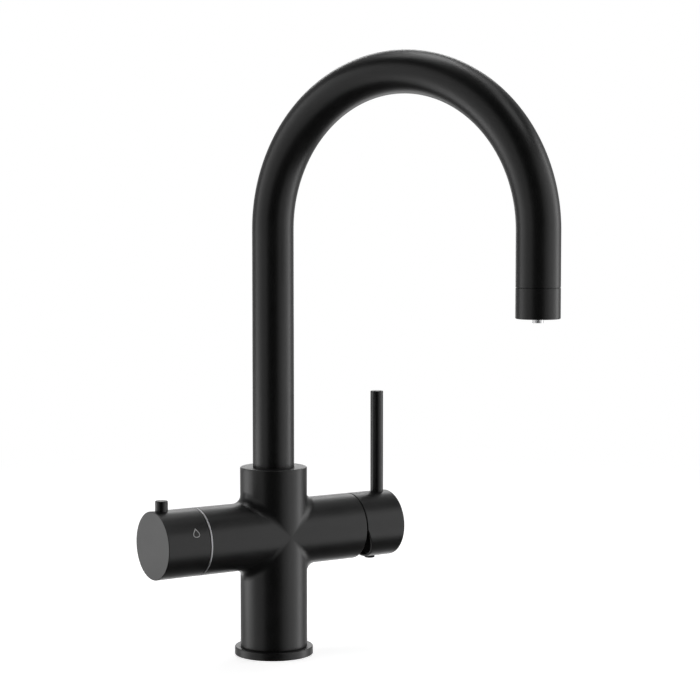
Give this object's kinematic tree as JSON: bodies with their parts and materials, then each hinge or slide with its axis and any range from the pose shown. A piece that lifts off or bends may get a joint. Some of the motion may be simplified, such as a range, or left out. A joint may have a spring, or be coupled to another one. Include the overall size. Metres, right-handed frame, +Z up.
{
  "type": "boiling water tap",
  "caption": "Swan-neck kitchen tap with a cross-shaped body, a one-lever mixer on one arm and a boiling water knob with a safety button on the other.",
  "frame": {"origin": "centre of the base flange's underside, on the axis of the column and of the threaded socket; z = 0 is the top of the worktop", "axes": "+Z up along the column, +X out along the mixer arm, the user stands at -Y; the spout rests 22 degrees off the front, turned towards the mixer arm"},
  "size_m": [0.1892, 0.2322, 0.4103],
  "materials": {
    "satin_black": "satin powder coat",
    "polished_steel": "polished",
    "brass": "machined",
    "ceramic": "lapped ceramic",
    "white_plastic": "moulded",
    "grey_plastic": "moulded",
    "black_rubber": "matte"
  },
  "bodies": {
    "body": {"base_flange": "satin_black", "base_gasket": "black_rubber", "inlet_block": "brass", "body_casting": "satin_black", "spout_lock_screw": "polished_steel", "glide_washer": "white_plastic", "boiling_nipple": "brass", "cartridge_seals": "black_rubber", "cartridge_base": "white_plastic", "fixed_ceramic_disc": "ceramic", "cartridge_housing": "grey_plastic", "cartridge_nut": "brass", "cartridge_cover": "satin_black", "valve_seals": "black_rubber", "valve_base": "white_plastic", "valve_fixed_disc": "ceramic", "valve_housing": "brass", "valve_nut": "brass", "trim_ring": "polished_steel", "stop_ring": "brass"},
    "spout": {"spout_spigot": "brass", "spigot_seals": "black_rubber", "spout_tube": "satin_black", "boiling_tube": "white_plastic", "tube_ferrule": "polished_steel", "outlet_collar": "satin_black", "aerator_seal": "black_rubber", "aerator_insert": "grey_plastic", "boiling_nozzle": "polished_steel"},
    "mixer_carrier": {"turning_carrier": "white_plastic", "pivot_pin": "polished_steel"},
    "mixer_disc": {"moving_ceramic_disc": "ceramic", "disc_driver": "grey_plastic"},
    "mixer_lever": {"lever_stem": "polished_steel", "mixer_cap": "satin_black", "lever_rod": "satin_black", "stem_grub_screw": "polished_steel", "cap_plug": "black_rubber"},
    "knob": {"valve_turning_disc": "ceramic", "valve_spindle": "brass", "spindle_seal": "black_rubber", "control_knob": "satin_black", "knob_grub_screw": "polished_steel", "button_spring": "polished_steel"},
    "button": {"safety_button": "satin_black", "lock_pin": "polished_steel", "pin_clip": "polished_steel"}
  },
  "joints": [
    {"name": "spout_swivel", "type": "hinge", "parent": "body", "child": "spout", "pos_m": [0, 0, 0.12], "axis": [0, 0, 1], "range_deg": [-172, 128]},
    {"name": "mixer_mix", "type": "hinge", "parent": "body", "child": "mixer_carrier", "pos_m": [0.0625, 0, 0.0835], "axis": [1, 0, 0], "range_deg": [-45, 45]},
    {"name": "mixer_flow", "type": "hinge", "parent": "mixer_carrier", "child": "mixer_lever", "pos_m": [0.06139, 0, 0.0835], "axis": [0, 1, 0], "range_deg": [0, 25]},
    {"name": "mixer_disc_slide", "type": "slide", "parent": "mixer_carrier", "child": "mixer_disc", "axis": [0, 0, 1], "range_m": [0, 0.0052]},
    {"name": "knob_turn", "type": "hinge", "parent": "body", "child": "knob", "pos_m": [-0.0625, 0, 0.0835], "axis": [1, 0, 0], "range_deg": [-90, 90]},
    {"name": "button_press", "type": "slide", "parent": "knob", "child": "button", "axis": [0, 0, -1], "range_m": [0, 0.0025], "stiffness_N_per_m": 300, "springref_m": -0.003, "deforming": ["button_spring"]}
  ],
  "couplings": [
    {"joint": "mixer_disc_slide", "follows": "mixer_flow", "m_per_rad": 0.011905}
  ]
}
